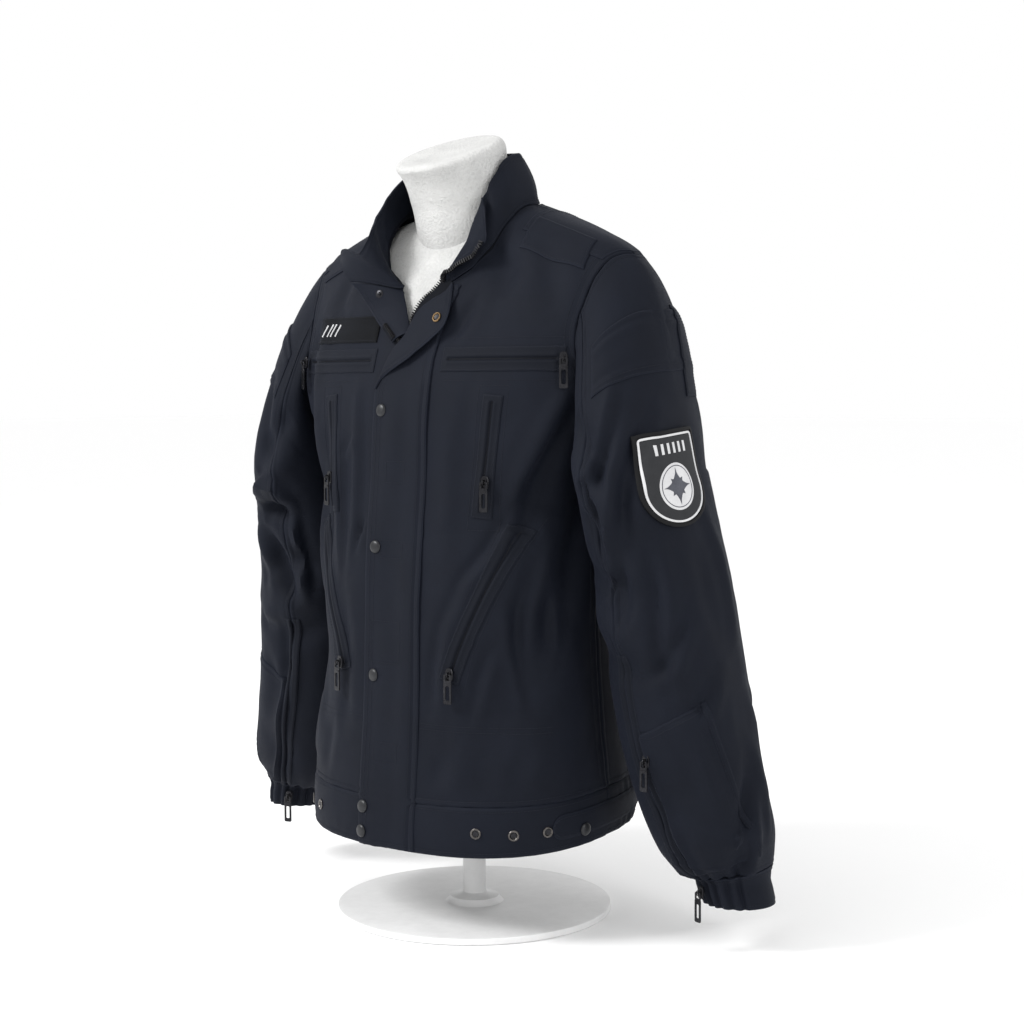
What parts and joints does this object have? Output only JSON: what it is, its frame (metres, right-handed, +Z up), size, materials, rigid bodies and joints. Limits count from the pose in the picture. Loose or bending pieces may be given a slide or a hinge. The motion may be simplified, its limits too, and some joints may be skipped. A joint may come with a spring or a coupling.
{
  "type": "duty jacket on bust form",
  "caption": "Waist-length duty jacket with zip pockets, covered front, turned-out collar and gathered cuffs, worn by a limbless bust form on a round stand.",
  "frame": {"origin": "middle of the base plate's underside, on the floor", "axes": "+Z up, the wearer's front faces -Y, +X is the wearer's left"},
  "size_m": [0.6974, 0.3, 0.8434],
  "materials": {
    "jacket_cloth": "matt twill, dark navy",
    "jacket_trim": "matt tape and twill",
    "badge_rubber": null,
    "zip_metal": "worn dark-plated steel",
    "snap_cap": "dark lacquered",
    "form_white": "matt white, finely grained",
    "stand_white": "white powder coat"
  },
  "bodies": {
    "jacket_and_form": {"back": "jacket_cloth", "bust_welt_left": "jacket_trim", "bust_welt_right": "jacket_trim", "chest_welt_left": "jacket_trim", "chest_welt_right": "jacket_trim", "collar": "jacket_cloth", "cuff_left": "jacket_cloth", "cuff_right": "jacket_cloth", "epaulette_left": "jacket_cloth", "epaulette_right": "jacket_cloth", "flap_facing": "jacket_cloth", "forearm_panel_left": "jacket_cloth", "forearm_panel_right": "jacket_cloth", "form_stand": "stand_white", "form_torso": "form_white", "front_left": "jacket_cloth", "front_right": "jacket_cloth", "lapel_right": "jacket_cloth", "name_tape": "jacket_trim", "placket_flap": "jacket_cloth", "shoulder_panel_left": "jacket_cloth", "shoulder_panel_right": "jacket_cloth", "slant_welt_left": "jacket_trim", "slant_welt_right": "jacket_trim", "sleeve_badge": "badge_rubber", "sleeve_band_left": "jacket_cloth", "sleeve_band_right": "jacket_cloth", "sleeve_tab_left": "jacket_trim", "sleeve_tab_right": "jacket_trim", "sleeve_top_left": "jacket_cloth", "sleeve_top_right": "jacket_cloth", "sleeve_under_left": "jacket_cloth", "sleeve_under_right": "jacket_cloth", "slider_bust_left": "zip_metal", "slider_bust_right": "zip_metal", "slider_chest_left": "zip_metal", "slider_chest_right": "zip_metal", "slider_cuff_left": "zip_metal", "slider_cuff_right": "zip_metal", "slider_forearm_left": "zip_metal", "slider_slant_left": "zip_metal", "slider_slant_right": "zip_metal", "snap_cap_1": "snap_cap", "snap_cap_2": "snap_cap", "snap_cap_3": "snap_cap", "waist_tab_left": "jacket_cloth", "waist_tab_right": "jacket_cloth", "waistband_back": "jacket_cloth", "waistband_left": "jacket_cloth", "waistband_right": "jacket_cloth"},
    "pull_bust_left": {"pull_bust_left": "zip_metal"},
    "pull_bust_right": {"pull_bust_right": "zip_metal"},
    "pull_chest_left": {"pull_chest_left": "zip_metal"},
    "pull_chest_right": {"pull_chest_right": "zip_metal"},
    "pull_cuff_left": {"pull_cuff_left": "zip_metal"},
    "pull_cuff_right": {"pull_cuff_right": "zip_metal"},
    "pull_forearm_left": {"pull_forearm_left": "zip_metal"},
    "pull_slant_left": {"pull_slant_left": "zip_metal"},
    "pull_slant_right": {"pull_slant_right": "zip_metal"}
  },
  "joints": [
    {"name": "bust_left_swing", "type": "hinge", "parent": "jacket_and_form", "child": "pull_bust_left", "pos_m": [0.10845, -0.11424, 0.475], "axis": [-0.9666, -0.2561, 0], "range_deg": [0, 100]},
    {"name": "bust_right_swing", "type": "hinge", "parent": "jacket_and_form", "child": "pull_bust_right", "pos_m": [-0.10845, -0.11424, 0.475], "axis": [-0.9666, 0.2561, 0], "range_deg": [0, 100]},
    {"name": "chest_left_swing", "type": "hinge", "parent": "jacket_and_form", "child": "pull_chest_left", "pos_m": [0.18025, -0.07513, 0.599], "axis": [-0.8457, -0.5337, 0], "range_deg": [0, 100]},
    {"name": "chest_right_swing", "type": "hinge", "parent": "jacket_and_form", "child": "pull_chest_right", "pos_m": [-0.18025, -0.07513, 0.599], "axis": [-0.8457, 0.5337, 0], "range_deg": [0, 100]},
    {"name": "cuff_left_swing", "type": "hinge", "parent": "jacket_and_form", "child": "pull_cuff_left", "pos_m": [0.28956, 0.00163, 0.062], "axis": [-0.9511, 0.309, 0], "range_deg": [0, 100]},
    {"name": "cuff_right_swing", "type": "hinge", "parent": "jacket_and_form", "child": "pull_cuff_right", "pos_m": [-0.28956, 0.00163, 0.084], "axis": [-0.9511, -0.309, 0], "range_deg": [0, 100]},
    {"name": "forearm_left_swing", "type": "hinge", "parent": "jacket_and_form", "child": "pull_forearm_left", "pos_m": [0.25558, -0.04516, 0.19853], "axis": [-0.9989, 0.0466, 0], "range_deg": [0, 100]},
    {"name": "slant_left_swing", "type": "hinge", "parent": "jacket_and_form", "child": "pull_slant_left", "pos_m": [0.07669, -0.13444, 0.28], "axis": [-0.9766, -0.2151, 0], "range_deg": [0, 100]},
    {"name": "slant_right_swing", "type": "hinge", "parent": "jacket_and_form", "child": "pull_slant_right", "pos_m": [-0.07669, -0.13444, 0.28], "axis": [-0.9766, 0.2151, 0], "range_deg": [0, 100]}
  ]
}
